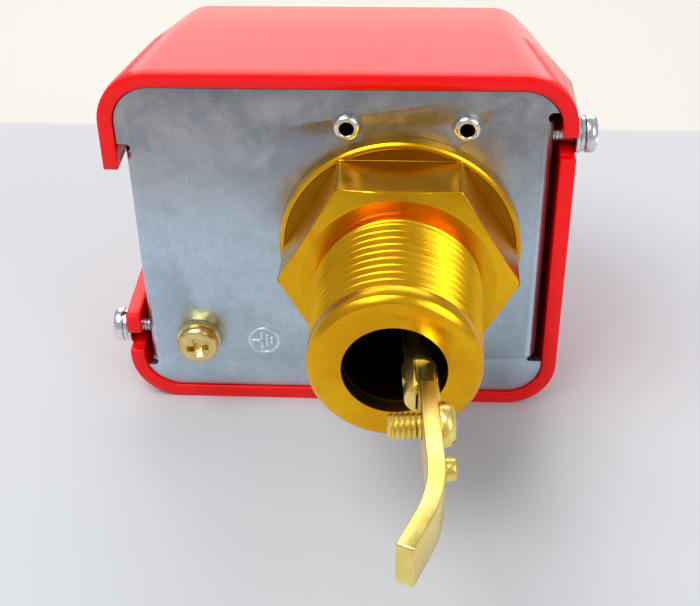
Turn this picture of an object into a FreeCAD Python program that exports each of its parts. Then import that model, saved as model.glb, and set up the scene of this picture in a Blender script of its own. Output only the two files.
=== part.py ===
# Paddle flow switch, 1 inch pipe size, lying on the long side of its cover.
# Millimetres. +X right, +Y from the pipe into the housing, +Z up.
# The origin is on the pipe thread's axis, at the shoulder where the thread meets the hexagon.
import FreeCAD, Part
import math
import os

V = FreeCAD.Vector
AX, AY, AZ = V(1, 0, 0), V(0, 1, 0), V(0, 0, 1)

# --- pipe fitting, turned from hexagon brass ---
thread_d = 33.25          # outside diameter of a 1 inch pipe thread
nipple_len = 27.0
mouth_chamfer = 1.2
mouth_d = 19.4            # the bore seen from the pipe side
lip_len = 3.5             # the bore is this narrow only at its mouth
chamber_d = 26.5          # behind the lip, where the bellows flexes
hex_af = 42.0             # across flats, flats at the top and bottom
hex_len = 12.6
hex_face_d = 41.0         # where the turned chamfer of the hexagon starts
hex_chamfer_deg = 15.0
flange_d = 49.7
flange_t = 3.0
flange_edge = 0.4
seat_ledge = 0.95         # ledge round the chamber that the bellows seat lies on
spigot_wall = 1.8         # round the seat, where the fitting goes through the base plate
ring_wall = 4.3           # slotted lock ring that clamps the fitting to the plate
ring_t = 5.0
ring_slot_w = 5.0
ring_slot_depth = 2.2
spigot_past_ring = 1.0
seat_t = 3.0              # bellows seat, soldered into the back of the spigot
seat_hole_d = 13.0

# --- base plate, folded from zinc-plated sheet ---
plate_t = 2.0
plate_hole_clear = 0.15   # radial, round the spigot
bend_r = 0.5              # inside radius of the two folds
wall_gap = 1.55           # from a folded wall to the inside of the cover
relief_right = ((0.65, 1.8), (1.15, 1.5))  # radius and depth of the right wall's bend reliefs, bottom and top
relief_left = ((0.95, 1.3), (0.95, 1.3))   # and of the left wall's
fold_right = (12.45, 8.85)  # the same reliefs, up from the cover's bottom and down from its top
fold_left = (9.45, 16.6)  # and on the left
wall_corner_r = 6.0
wall_margin = 3.0         # metal left past the conduit hole
conduit_d = 22.0
conduit_rise = 16.4       # from the plate's outer face to the hole's axis
conduit_z = -1.8

# --- cover, moulded in one piece ---
cover_wall = 3.05
cover_low = 4.5           # the cover reaches this much further below the axis than above
room_right = 3.0          # inside the cover, from the range screw's head to the folded wall
room_left = 19.35         # from the terminals to the folded wall, for the cores of the cable
room_top = 0.65           # from the switch screws to the cover's sloping top
room_foot = 1.0           # at least this from the bracket's foot to the cover
room_back = 3.55          # from the switch bracket to the cover's back
cover_corner_r = 11.0
cover_fit = 0.25          # gap between the plate's edge and the cover
rim_proud = 0.5           # the rim stands this far out past the plate
skirt_len = 17.5          # the straight part, up to the crease
hood_drop = 10.3          # how far the top and the bottom slope in
hood_side = 3.6           # how far the sides slope in
hood_corner_r = 9.0
hood_edge_r = 6.0
rib_t = 2.0               # stop ribs that bear on the plate
rib_h = 2.6
rib_len = 20.0
rib_from_side = 11.35
rib_gap = 0.2
notch_w = 36.8            # cable entry, open at the rim
slot_clear = 0.4          # screw slots, open at the rim, wider than the screw by this on each side
slot_depth = 6.6          # from the rim to the screw's axis

# --- cover screws, M4 pan head with two washers ---
m4_d = 4.0
m4_clear = 0.2
screw_from_edge = 15.25   # down from the cover's top on the right, up from its bottom on the left
screw_seat_gap = 0.05     # between the washer and the cover
flat_washer_d = 8.0
flat_washer_t = 0.9
spring_washer_d = 7.0
spring_washer_t = 1.0
spring_washer_cut = 0.6
pan_head_d = 7.7
pan_head_t = 2.6
pan_round = 1.3
cover_nut_t = 3.0
screw_past_nut = 1.75
m4_nut_af = 7.0

# --- earth terminal in the base plate ---
earth_room = 0.6          # from the cover screw's end to the earth nut
earth_up = 16.5           # from the cover's bottom
earth_head_d = 9.0
earth_head_t = 2.4
earth_washer_d = 9.6
earth_washer_t = 1.6
earth_screw_len = 9.6
earth_nut_t = 3.2

# --- arm, all stations measured outward from the pivot along the arm ---
lean_deg = 4.6            # the arm leans this far toward +X at rest
rod_d = 5.0
hub_d = 10.0
hub_half = 7.0
hub_clear = 0.4           # from the spigot to the hub
head_d = 6.4
head_len = 8.4
head_out = 7.6            # how far the head reaches past the mouth of the bore
head_slot_x = 2.25        # the slot's right side, across the arm
head_slot_slack = 0.4     # between the bar and the slot's left side
head_slot_len = 7.0
bar_t = 3.0
bar_h = 8.6
tongue_h = 5.6
bar_step = 0.2            # from the head to the bar's shoulder, and in the slot's bottom
bar_rivet_d = 3.0
bar_rivet_inset = 0.2     # from the head's surface to the rivet's ends
bend_past_pin = 1.9       # from the locating pin to where the bar starts to bend
bar_bend_r = 28.0
bar_bend_deg = 27.0
tail_len = 7.0
tail_round = 0.6
screw_out = 15.0          # paddle screw, past the mouth
paddle_screw_d = 5.0
paddle_screw_tail = 5.8
paddle_head_d = 8.0
paddle_head_t = 3.0
pin_out = 25.7            # locating pin, past the mouth
locating_pin_d = 4.0
locating_pin_proud = 2.0
locating_shank_d = 3.0    # riveted into the bar
tang_t = 3.0
tang_h = 7.0
tang_gap = 1.2            # from the tang's end to the range spring

# --- bellows ---
bellows_d = 18.4
bellows_root_d = 14.0
bellows_skin = 0.5
bellows_folds = 6
bellows_pitch = 2.7
bellows_cap_t = 0.8
bellows_lip_clear = 0.25
cuff_d = 16.4
cuff_len = 2.2
collar_d = 12.0
collar_t = 2.5
collar_gap = 0.1

# --- pivot ---
pivot_d = 4.0
pivot_clear = 0.05
pivot_past = 2.0          # past each bracket
clip_t = 0.8
clip_d = 7.0
clip_groove_d = 3.2
clip_edge = 0.3
spacer_d = 6.8
spacer_end_gap = 0.15

# --- brackets, zinc-plated sheet: the upper one is riveted, the lower one spot-welded ---
bracket_t = 2.5
bracket_clear = 0.7       # from the lock ring
foot_past_rivet = 4.0     # from the rivets sideways to the foot's ends
bracket_margin = 1.5      # from the switch to the web's edges
bracket_round = 3.0
post_af = 8.0             # two hexagon posts tie the webs together at the back
post_inset = 5.5          # from the upper web's right and back edges
post_pitch = 11.0
post_hole_len = 6.0
post_screw_len = 7.0
rivet_over_flange = 2.05  # from the top of the flange up to the rivets
rivet_from_web = 3.2      # and at least this from the web
foot_over_rivet = 5.6     # from the rivets up to the foot's edge
rivet_mid_x = 1.2
rivet_pitch = 23.6
rivet_d = 3.8
rivet_bore_d = 2.9
rivet_head_d = 5.4
rivet_head_t = 1.5
rivet_head_round = 1.2
rivet_set_d = 5.6
rivet_set_t = 0.9

# --- trip screw and snap switch ---
trip_arm = 12.0           # from the pivot, on the inner side
trip_screw_d = 4.0
trip_reach = 1.3          # tip past the lever plate
trip_tail = 6.5           # past the other side of the plate
trip_gap = 0.4
lock_nut_t = 2.4
plunger_d = 4.0
plunger_clear = 0.05
plunger_proud = 1.0       # pressed in, as it is at rest
plunger_len = 7.0
case_len = 36.0
case_h = 18.0
case_w = 16.0
lid_t = 2.0
case_round = 1.2
plunger_from_end = 13.0
cavity_end = 7.5          # solid blocks at the ends, for the two mounting screws
cavity_front = 3.5
cavity_back = 4.5
cavity_roof = 2.0
switch_screw_d = 3.0
switch_screw_inset = 3.75
switch_head_d = 5.6
switch_head_t = 2.0
switch_nut_t = 2.4
switch_screw_past = 0.8
m3_nut_af = 5.5
blade_t = 0.4
blade_w = 5.0
blade_gap = 0.3
tab_t = 1.2
tab_w = 7.0
tab_out = 9.5
tab_in = 3.5
tab_end = 4.5             # the outer tabs, from the ends of the case
barrier_t = 1.6
barrier_out = 8.5
barrier_w = 10.5
clamp_t = 0.8
terminal_screw_d = 3.4
terminal_head_d = 6.2
terminal_head_t = 2.0
terminal_screw_len = 6.5

# --- lever plate, on the flat tang behind the pivot ---
lever_t = 1.5
lever_from_hub = 1.0
lever_past_spring = 0.7
lever_low = -8.0
lever_past_trip = 4.5
lever_round = 2.5
lever_screw_inset = 3.5   # from the tang's end
lever_head_d = 5.6
lever_head_t = 2.0
lever_nut_t = 2.4

# --- range spring, nut and screw ---
spring_arm = 20.0         # from the pivot
spring_z = 0.0
spring_d = 8.6
spring_wire = 1.0
spring_turns = 6
spring_len = 14.0
spring_gap = 0.35
range_screw_d = 5.0
range_clear = 0.05
range_nut_t = 2.0
range_boss_t = 2.0
range_nut_w = 10.0
range_nut_up = 5.5
range_travel = 1.6        # the nut's travel each way
range_nut_slide = 0.2     # from the nut's foot to the lower bracket
range_tip = 4.0           # screw past the nut
range_clip_t = 1.0
range_clip_d = 8.0
range_head_d = 8.0
range_head_t = 3.0
range_slot_w = 1.2
range_slot_depth = 1.4
tab_margin = 1.6          # from the clip to the nut at the end of its travel

# --- stations worked out from the sizes above ---
seat_d = chamber_d + 2 * seat_ledge
spigot_d = seat_d + 2 * spigot_wall
ring_d = spigot_d + 2 * ring_wall
plate_y = hex_len + flange_t
plate_in = plate_y + plate_t
rim_y = plate_y - rim_proud
crease_y = rim_y + skirt_len
ring_end = plate_in + ring_t
spigot_end = ring_end + spigot_past_ring
seat_y = spigot_end - seat_t
pivot_y = spigot_end + hub_clear + hub_d / 2
mouth_out = pivot_y + nipple_len
lean = math.radians(lean_deg)
conduit_y = plate_y + conduit_rise
wall_end = conduit_y + conduit_d / 2 + wall_margin
screw_y = rim_y + slot_depth
web_z = ring_d / 2 + bracket_clear
web_out = web_z + bracket_t
rivet_z = max(flange_d / 2 + rivet_over_flange, web_out + rivet_from_web)
foot_edge = rivet_z + foot_over_rivet
neck_left = rivet_mid_x - rivet_pitch / 2 - foot_past_rivet
neck_right = rivet_mid_x + rivet_pitch / 2 + foot_past_rivet

bend_out = pin_out + bend_past_pin
bar_rivet_len = head_d - 2 * bar_rivet_inset
head_slot_left = head_slot_x - bar_t - head_slot_slack
bar_x = head_slot_x - bar_t / 2
head_end = mouth_out + head_out
tang_len = spring_arm - spring_d / 2 - tang_gap
lever_screw_at = tang_len - lever_screw_inset
lever_start = hub_d / 2 + lever_from_hub
lever_end = spring_arm + spring_d / 2 + lever_past_spring

plunger_z = web_z - case_w / 2
trip_y = pivot_y + trip_arm
trip_x = -(tang_t / 2 + lever_t + trip_reach) * math.cos(lean) - trip_arm * math.sin(lean)
plunger_x = trip_x - trip_gap
case_x = plunger_x - plunger_proud
case_back = case_x - case_h
case_y = trip_y - plunger_from_end
case_end = case_y + case_len
web_end = case_end + bracket_margin
spring_y = pivot_y + spring_arm
spring_x = -tang_t / 2 * math.cos(lean) - spring_arm * math.sin(lean) + spring_gap
range_nut_x = spring_x + spring_len
clip_x = range_nut_x + range_nut_t + range_boss_t + range_travel + tab_margin
range_tab_x = clip_x + range_clip_t
range_head_x = range_tab_x + bracket_t + range_clear

right_wall = range_head_x + range_head_t + room_right + plate_t
left_wall = case_back - tab_out - room_left - plate_t
right_x = right_wall + wall_gap + cover_wall
left_x = left_wall - wall_gap - cover_wall
cover_w = right_x - left_x
cover_x = (right_x + left_x) / 2
back_y = web_end + room_back + cover_wall
hood_len = back_y - crease_y
switch_screw_end = web_out + switch_nut_t + switch_screw_past
slope_at_switch = hood_drop * (case_end - switch_screw_inset + switch_screw_d / 2 - crease_y) / hood_len
cover_top = max(switch_screw_end + room_top + slope_at_switch, foot_edge + room_foot) + cover_wall
cover_bottom = -cover_top - cover_low
cover_h = cover_top - cover_bottom
cover_z = (cover_top + cover_bottom) / 2

slot_w = m4_d + 2 * slot_clear
screw_zs = {1: cover_top - screw_from_edge, -1: cover_bottom + screw_from_edge}
screw_stack = screw_seat_gap + flat_washer_t + spring_washer_t
cover_screw_len = screw_stack + cover_wall + wall_gap + plate_t + cover_nut_t + screw_past_nut
earth_x = left_wall + plate_t + cover_nut_t + screw_past_nut + earth_room + m4_nut_af / math.sqrt(3)
earth_z = cover_bottom + earth_up


# --- helpers ---
def rod(axis, at, d, length):
    return Part.makeCylinder(d / 2, length, at, axis)


def tube(axis, at, d, hole, length):
    return rod(axis, at, d, length).cut(rod(axis, at, hole, length))


def block(x0, x1, y0, y1, z0, z1):
    return Part.makeBox(x1 - x0, y1 - y0, z1 - z0, V(x0, y0, z0))


def turned(points):
    """A solid of revolution about Y, from its (radius, y) outline."""
    outline = Part.makePolygon([V(r, y, 0) for r, y in points + points[:1]])
    return Part.Face(outline).revolve(V(0, 0, 0), AY, 360)


def hexagon(axis, at, af, length, turn=0.0):
    points = [V(af / math.sqrt(3) * math.cos(math.radians(60 * i + turn)),
                af / math.sqrt(3) * math.sin(math.radians(60 * i + turn)), 0) for i in range(7)]
    solid = Part.Face(Part.makePolygon(points)).extrude(V(0, 0, length))
    solid.Placement = FreeCAD.Placement(at, FreeCAD.Rotation(AZ, axis))
    return solid


def nut(axis, at, af, hole, t):
    return hexagon(axis, at, af, t).cut(rod(axis, at, hole, t))


def pan_screw(axis, seat, d, length, head_d, head_t, round_r):
    """A screw whose head's underside is at seat; axis points from the shank to the head."""
    head = rod(axis, seat, head_d, head_t)
    top = [e for e in head.Edges if abs((e.CenterOfMass - seat).dot(axis) - head_t) < 1e-6]
    return head.makeFillet(round_r, top).fuse(rod(-axis, seat, d, length))


def rounded_wire(w, h, r, y, x=0.0, z=0.0):
    """A rounded rectangle across Y, with its corners as arcs."""
    a, b = w / 2, h / 2
    edges = []
    for sx, sz, start in ((1, 1, 0), (-1, 1, 90), (-1, -1, 180), (1, -1, 270)):
        cx, cz = x + sx * (a - r), z + sz * (b - r)
        arc = [V(cx + r * math.cos(math.radians(start + t)), y, cz + r * math.sin(math.radians(start + t)))
               for t in (0, 45, 90)]
        if edges:
            edges.append(Part.LineSegment(edges[-1].valueAt(edges[-1].LastParameter), arc[0]).toShape())
        edges.append(Part.Arc(*arc).toShape())
    first = edges[0].valueAt(edges[0].FirstParameter)
    edges.append(Part.LineSegment(edges[-1].valueAt(edges[-1].LastParameter), first).toShape())
    return Part.Wire(edges)


def drum(w, h, r, y0, y1, x, z):
    return Part.Face(rounded_wire(w, h, r, y0, x, z)).extrude(V(0, y1 - y0, 0))


def sheet(points, z0, t):
    """A flat sheet across Z from its (x, y) outline."""
    outline = Part.makePolygon([V(x, y, z0) for x, y in points + points[:1]])
    return Part.Face(outline).extrude(V(0, 0, t))


def round_upright(solid, r, keep):
    """Rounds the straight edges along Z whose middle passes keep(x, y)."""
    edges = [e for e in solid.Edges if len(e.Vertexes) == 2
             and abs(e.Vertexes[0].X - e.Vertexes[1].X) < 1e-6
             and abs(e.Vertexes[0].Y - e.Vertexes[1].Y) < 1e-6
             and keep(e.CenterOfMass.x, e.CenterOfMass.y)]
    return solid.makeFillet(r, edges)


def on_arm(solid):
    """Takes a solid drawn straight, pivot at the origin, to the arm's place at rest."""
    solid = solid.copy()
    solid.translate(V(0, pivot_y, 0))
    solid.rotate(V(0, pivot_y, 0), AZ, lean_deg)
    return solid


# --- pipe fitting and what holds it ---
def fitting_bore():
    return turned([(0, -nipple_len), (mouth_d / 2, -nipple_len), (mouth_d / 2, lip_len - nipple_len),
                   (chamber_d / 2, lip_len - nipple_len), (chamber_d / 2, seat_y), (seat_d / 2, seat_y),
                   (seat_d / 2, spigot_end), (0, spigot_end)])


def pipe_fitting():
    r = thread_d / 2
    nipple = turned([(0, -nipple_len), (r - mouth_chamfer, -nipple_len), (r, mouth_chamfer - nipple_len),
                     (r, 0), (0, 0)])
    hexa = hexagon(AY, V(0, 0, 0), hex_af, hex_len)
    face_r, corner_r = hex_face_d / 2, hex_af / math.sqrt(3)
    slope = (corner_r - face_r) * math.tan(math.radians(hex_chamfer_deg))
    hexa = hexa.common(turned([(0, 0), (face_r, 0), (corner_r, slope), (corner_r, hex_len), (0, hex_len)]))
    return nipple.fuse(hexa).cut(fitting_bore()).removeSplitter()


def fitting_flange():
    """The flange and the spigot that goes through the base plate."""
    f = flange_d / 2
    flange = turned([(0, hex_len), (f - flange_edge, hex_len), (f, hex_len + flange_edge),
                     (f, plate_y), (spigot_d / 2, plate_y), (spigot_d / 2, spigot_end), (0, spigot_end)])
    return flange.cut(fitting_bore())


def fitting_lock_ring():
    ring = tube(AY, V(0, plate_in, 0), ring_d, spigot_d, ring_t)
    for i in range(4):
        cut = block(ring_d / 2 - ring_slot_depth, ring_d, plate_in + ring_t / 2, ring_end,
                    -ring_slot_w / 2, ring_slot_w / 2)
        cut.rotate(V(0, 0, 0), AY, 45 + 90 * i)
        ring = ring.cut(cut)
    return ring


def bellows_seat():
    return tube(AY, V(0, seat_y, 0), seat_d, seat_hole_d, seat_t)


def bellows():
    front = bellows_front()
    hole = rod_d / 2 + pivot_clear
    outer = []
    for i in range(bellows_folds):
        y = front + bellows_cap_t + i * bellows_pitch
        outer += [(bellows_root_d / 2, y), (bellows_d / 2, y + bellows_pitch / 2)]
    end = front + bellows_cap_t + bellows_folds * bellows_pitch
    outer.append((bellows_root_d / 2, end))
    inner = [(r - bellows_skin, y) for r, y in reversed(outer)]
    outline = [(hole, front), (bellows_root_d / 2, front)] + outer + inner + [(hole, front + bellows_cap_t)]
    folds = on_arm(turned(outline))
    cuff = tube(AY, V(0, seat_y - cuff_len, 0), cuff_d, bellows_root_d - 2 * bellows_skin, cuff_len)
    lip = tube(AY, V(0, seat_y - bellows_cap_t, 0), chamber_d - 2 * bellows_lip_clear,
               bellows_root_d - 2 * bellows_skin, bellows_cap_t)
    return folds.fuse([cuff, lip])


def bellows_front():
    return seat_y - pivot_y - (cuff_len / 2 + bellows_folds * bellows_pitch) - bellows_cap_t


# --- base plate ---
def side_wall(face_x, side, low, high):
    """One folded wall with its bend; side is +1 on the right and -1 on the left."""
    ro = plate_t + bend_r
    s = math.sqrt(0.5)
    cx, cy = face_x - side * ro, plate_y + ro

    def at(dx, dy):
        return V(cx + side * dx, cy + dy, low)

    edges = [Part.Arc(at(0, -ro), at(ro * s, -ro * s), at(ro, 0)).toShape(),
             Part.LineSegment(at(ro, 0), at(ro, wall_end - cy)).toShape(),
             Part.LineSegment(at(ro, wall_end - cy), at(bend_r, wall_end - cy)).toShape(),
             Part.LineSegment(at(bend_r, wall_end - cy), at(bend_r, 0)).toShape(),
             Part.Arc(at(bend_r, 0), at(bend_r * s, -bend_r * s), at(0, -bend_r)).toShape(),
             Part.LineSegment(at(0, -bend_r), at(0, -ro)).toShape()]
    wall = Part.Face(Part.Wire(edges)).extrude(V(0, 0, high - low))
    corners = [e for e in wall.Edges if abs(e.CenterOfMass.y - wall_end) < 1e-6 and e.Length < plate_t + 1e-6]
    return wall.makeFillet(wall_corner_r, corners)


def base_plate():
    gap = 2 * (cover_wall + cover_fit)
    plate = drum(cover_w - gap, cover_h - gap, cover_corner_r - cover_wall - cover_fit,
                 plate_y, plate_in, cover_x, cover_z)
    walls = []
    for face_x, side, fold, relief in ((right_wall, 1, fold_right, relief_right),
                                       (left_wall, -1, fold_left, relief_left)):
        low, high = cover_bottom + fold[0], cover_top - fold[1]
        start, end = low + relief[0][0], high - relief[1][0]
        inner = face_x - side * (plate_t + bend_r)
        outer = face_x + side * 2 * wall_gap
        plate = plate.cut(block(min(inner, outer), max(inner, outer), plate_y, plate_in, start, end))
        walls.append(side_wall(face_x, side, start, end))
        for z, (r, depth) in zip((low, high), relief):
            x = face_x - side * (depth - r)
            notch = block(min(x, outer), max(x, outer), plate_y, plate_in, z - r, z + r)
            plate = plate.cut(notch.fuse(rod(AY, V(x, plate_y, z), 2 * r, plate_t)))
    plate = plate.fuse(walls)
    plate = plate.cut(rod(AY, V(0, plate_y, 0), spigot_d + 2 * plate_hole_clear, plate_t))
    for x in rivet_xs():
        plate = plate.cut(rod(AY, V(x, plate_y, rivet_z), rivet_d, plate_t))
    plate = plate.cut(rod(AY, V(earth_x, plate_y, earth_z), m4_d + 2 * m4_clear, plate_t))
    plate = plate.cut(rod(AX, V(left_wall, conduit_y, conduit_z), conduit_d, plate_t))
    for face_x, side in ((right_wall, 1), (left_wall, -1)):
        hole = rod(AX * -side, V(face_x, screw_y, screw_zs[side]), m4_d + 2 * m4_clear, plate_t)
        plate = plate.cut(hole)
    return plate.removeSplitter()


def rivet_xs():
    return [rivet_mid_x - rivet_pitch / 2, rivet_mid_x + rivet_pitch / 2]


def frame_rivets():
    made = []
    for x in rivet_xs():
        stack = plate_t + bracket_t
        head = rod(-AY, V(x, plate_y, rivet_z), rivet_head_d, rivet_head_t)
        top = [e for e in head.Edges if abs(e.CenterOfMass.y - plate_y + rivet_head_t) < 1e-6]
        head = head.makeFillet(rivet_head_round, top)
        body = rod(AY, V(x, plate_y, rivet_z), rivet_d, stack)
        rolled = rod(AY, V(x, plate_in + bracket_t, rivet_z), rivet_set_d, rivet_set_t)
        bore = rod(AY, V(x, plate_y - rivet_head_t, rivet_z), rivet_bore_d, rivet_head_t + stack + rivet_set_t)
        made.append(head.fuse([body, rolled]).cut(bore).removeSplitter())
    return made


def earth_screw():
    seat = V(earth_x, plate_y - earth_washer_t, earth_z)
    return pan_screw(-AY, seat, m4_d, earth_screw_len, earth_head_d, earth_head_t, pan_round)


def earth_washer():
    return tube(-AY, V(earth_x, plate_y, earth_z), earth_washer_d, m4_d, earth_washer_t)


def earth_nut():
    return nut(AY, V(earth_x, plate_in, earth_z), m4_nut_af, m4_d, earth_nut_t)


# --- cover and its screws ---
def hood(inset, end):
    """The cover's form, moved in by inset all round and ending at y = end."""
    w, h = cover_w - 2 * inset, cover_h - 2 * inset
    share = (end - crease_y) / hood_len
    back = rounded_wire(w - 2 * hood_side * share, h - 2 * hood_drop * share,
                        hood_corner_r - inset, end, cover_x, cover_z)
    front = rounded_wire(w, h, cover_corner_r - inset, crease_y, cover_x, cover_z)
    taper = Part.makeLoft([front, back], True, True)
    skirt = drum(w, h, cover_corner_r - inset, rim_y, crease_y, cover_x, cover_z)
    form = skirt.fuse(taper).removeSplitter()
    edges = [e for e in form.Edges if abs(e.BoundBox.YMin - end) < 1e-4 and abs(e.BoundBox.YMax - end) < 1e-4]
    return form.makeFillet(hood_edge_r - inset, edges)


def side_cut(x, y, z, w, extra=0.0):
    """The tool that opens a side wall from the rim to a round end at height y."""
    end = x + 3 * cover_wall + extra
    return block(x, end, rim_y - cover_wall, y, z - w / 2, z + w / 2).fuse(rod(AX, V(x, y, z), w, end - x))


def cover():
    shell = hood(0, back_y).cut(hood(cover_wall, back_y - cover_wall))
    ribs = []
    for x in (left_x + rib_from_side, right_x - rib_from_side):
        y0 = plate_in + rib_gap
        for z0, z1 in ((cover_top - cover_wall - rib_h, cover_top - cover_wall / 2),
                       (cover_bottom + cover_wall / 2, cover_bottom + cover_wall + rib_h)):
            ribs.append(block(x - rib_t / 2, x + rib_t / 2, y0, y0 + rib_len, z0, z1))
    shell = shell.fuse(ribs)
    shell = shell.cut(side_cut(left_x - cover_wall, conduit_y, conduit_z, notch_w, hood_side))
    shell = shell.cut(side_cut(left_x - cover_wall, screw_y, screw_zs[-1], slot_w))
    shell = shell.cut(side_cut(right_x - 2 * cover_wall, screw_y, screw_zs[1], slot_w))
    return shell.removeSplitter()


def cover_screw_parts(side):
    """Flat washer, spring washer, screw and clinch nut on one side."""
    out = AX * side
    face = right_x if side > 0 else left_x
    wall = right_wall if side > 0 else left_wall
    z = screw_zs[side]
    x = face + side * screw_seat_gap
    flat = tube(out, V(x, screw_y, z), flat_washer_d, m4_d, flat_washer_t)
    x += side * flat_washer_t
    spring = tube(out, V(x, screw_y, z), spring_washer_d, m4_d, spring_washer_t)
    split = Part.makeBox(3 * spring_washer_t, spring_washer_d, spring_washer_cut)
    split.translate(V(x - spring_washer_t, screw_y, z - spring_washer_cut / 2))
    spring = spring.cut(split)
    x += side * spring_washer_t
    screw = pan_screw(out, V(x, screw_y, z), m4_d, cover_screw_len, pan_head_d, pan_head_t, pan_round)
    inner = wall - side * plate_t
    clinch = nut(-out, V(inner, screw_y, z), m4_nut_af, m4_d, cover_nut_t)
    return flat, spring, screw, clinch


# --- arm ---
def lever_rod():
    head_y = -head_end
    neck = rod(-AY, V(0, 0, 0), rod_d, head_end - head_len)
    head = rod(AY, V(0, head_y, 0), head_d, head_len)
    head = head.cut(block(head_slot_left, head_slot_x, head_y, head_y + head_slot_len, -head_d, head_d))
    hub = rod(AZ, V(0, 0, -hub_half), hub_d, 2 * hub_half)
    tang = block(-tang_t / 2, tang_t / 2, 0, tang_len, -tang_h / 2, tang_h / 2)
    made = neck.fuse([head, hub, tang])
    made = made.cut(rod(AZ, V(0, 0, -hub_half), pivot_d + 2 * pivot_clear, 2 * hub_half))
    made = made.cut(rod(AX, V(-head_d, bar_rivet_y(), 0), bar_rivet_d, 2 * head_d))
    made = made.cut(rod(AX, V(-tang_t, lever_screw_at, 0), switch_screw_d, 2 * tang_t))
    return on_arm(made.removeSplitter())


def bar_rivet_y():
    return -head_end + head_slot_len / 2


def paddle_bar():
    y0 = -head_end - bar_step
    yb = -(mouth_out + bend_out)
    cx = bar_x - bar_bend_r
    bend = math.radians(bar_bend_deg)
    ro, ri = bar_bend_r + bar_t / 2, bar_bend_r - bar_t / 2
    run = V(-math.sin(bend), -math.cos(bend), 0) * tail_len

    def on_arc(r, a):
        return V(cx + r * math.cos(a), yb - r * math.sin(a), -bar_h / 2)

    out_end, in_end = on_arc(ro, bend), on_arc(ri, bend)
    edges = [Part.LineSegment(V(cx + ro, y0, -bar_h / 2), on_arc(ro, 0)).toShape(),
             Part.Arc(on_arc(ro, 0), on_arc(ro, bend / 2), out_end).toShape(),
             Part.LineSegment(out_end, out_end + run).toShape(),
             Part.LineSegment(out_end + run, in_end + run).toShape(),
             Part.LineSegment(in_end + run, in_end).toShape(),
             Part.Arc(in_end, on_arc(ri, bend / 2), on_arc(ri, 0)).toShape(),
             Part.LineSegment(on_arc(ri, 0), V(cx + ri, y0, -bar_h / 2)).toShape(),
             Part.LineSegment(V(cx + ri, y0, -bar_h / 2), V(cx + ro, y0, -bar_h / 2)).toShape()]
    bar = Part.Face(Part.Wire(edges)).extrude(V(0, 0, bar_h))
    tip = (out_end + in_end) / 2 + run
    corners = [e for e in bar.Edges if abs(e.Length - bar_t) < 1e-6
               and (e.CenterOfMass - tip).dot(run) > -1e-6]
    bar = bar.makeFillet(tail_round, corners)
    tongue = block(bar_x - bar_t / 2, bar_x + bar_t / 2, y0, -head_end + head_slot_len - bar_step,
                   -tongue_h / 2, tongue_h / 2)
    bar = bar.fuse(tongue)
    bar = bar.cut(rod(AX, V(-head_d, bar_rivet_y(), 0), bar_rivet_d, 2 * head_d))
    for out, d in ((screw_out, paddle_screw_d), (pin_out, locating_shank_d)):
        bar = bar.cut(rod(AX, V(-head_d, -mouth_out - out, 0), d, 2 * head_d))
    return on_arm(bar.removeSplitter())


def bar_rivet():
    return on_arm(rod(AX, V(-bar_rivet_len / 2, bar_rivet_y(), 0), bar_rivet_d, bar_rivet_len))


def paddle_screw():
    seat = V(bar_x + bar_t / 2, -mouth_out - screw_out, 0)
    return on_arm(pan_screw(AX, seat, paddle_screw_d, bar_t + paddle_screw_tail,
                            paddle_head_d, paddle_head_t, pan_round))


def locating_pin():
    y = -mouth_out - pin_out
    shank = rod(AX, V(bar_x - bar_t / 2, y, 0), locating_shank_d, bar_t)
    return on_arm(shank.fuse(rod(AX, V(bar_x + bar_t / 2, y, 0), locating_pin_d, locating_pin_proud)))


def bellows_collar():
    y = bellows_front() - collar_gap
    return on_arm(tube(-AY, V(0, y, 0), collar_d, rod_d, collar_t))


def lever_plate():
    x = -tang_t / 2 - lever_t
    top = plunger_z + lever_past_trip
    plate = block(x, x + lever_t, lever_start, lever_end, lever_low, top)
    corners = [e for e in plate.Edges if abs(e.Length - lever_t) < 1e-6]
    plate = plate.makeFillet(lever_round, corners)
    plate = plate.cut(rod(AX, V(x, trip_arm, plunger_z), trip_screw_d, lever_t))
    return on_arm(plate.cut(rod(AX, V(x, lever_screw_at, 0), switch_screw_d, lever_t)))


def lever_screw():
    seat = V(-tang_t / 2 - lever_t, lever_screw_at, 0)
    length = lever_t + tang_t + lever_nut_t + switch_screw_past
    return on_arm(pan_screw(-AX, seat, switch_screw_d, length, lever_head_d, lever_head_t, lever_head_t / 2))


def lever_nut():
    return on_arm(nut(AX, V(tang_t / 2, lever_screw_at, 0), m3_nut_af, switch_screw_d, lever_nut_t))


def trip_screw():
    x = -tang_t / 2 - lever_t - trip_reach
    screw = rod(AX, V(x, trip_arm, plunger_z), trip_screw_d, trip_reach + lever_t + trip_tail)
    ends = [e for e in screw.Edges if abs(e.CenterOfMass.x - x) < 1e-6]
    screw = screw.makeFillet(trip_reach / 2, ends)
    end = -tang_t / 2 + trip_tail
    slot = block(end - range_slot_depth, end, trip_arm - trip_screw_d, trip_arm + trip_screw_d,
                 plunger_z - range_slot_w / 2, plunger_z + range_slot_w / 2)
    return on_arm(screw.cut(slot))


def trip_lock_nut():
    return on_arm(nut(AX, V(-tang_t / 2, trip_arm, plunger_z), m4_nut_af, trip_screw_d, lock_nut_t))


# --- pivot ---
def clip_ring(axis, at):
    return tube(axis, at, clip_d, clip_groove_d, clip_t)


def pivot_pin():
    half = web_out + pivot_past
    pin = rod(AZ, V(0, pivot_y, -half), pivot_d, 2 * half)
    for side in (-1, 1):
        groove = tube(AZ * side, V(0, pivot_y, side * web_out), 2 * pivot_d, clip_groove_d, clip_t)
        pin = pin.cut(groove)
    return pin


def pivot_clips():
    return [clip_ring(AZ * side, V(0, pivot_y, side * web_out)) for side in (-1, 1)]


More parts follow.
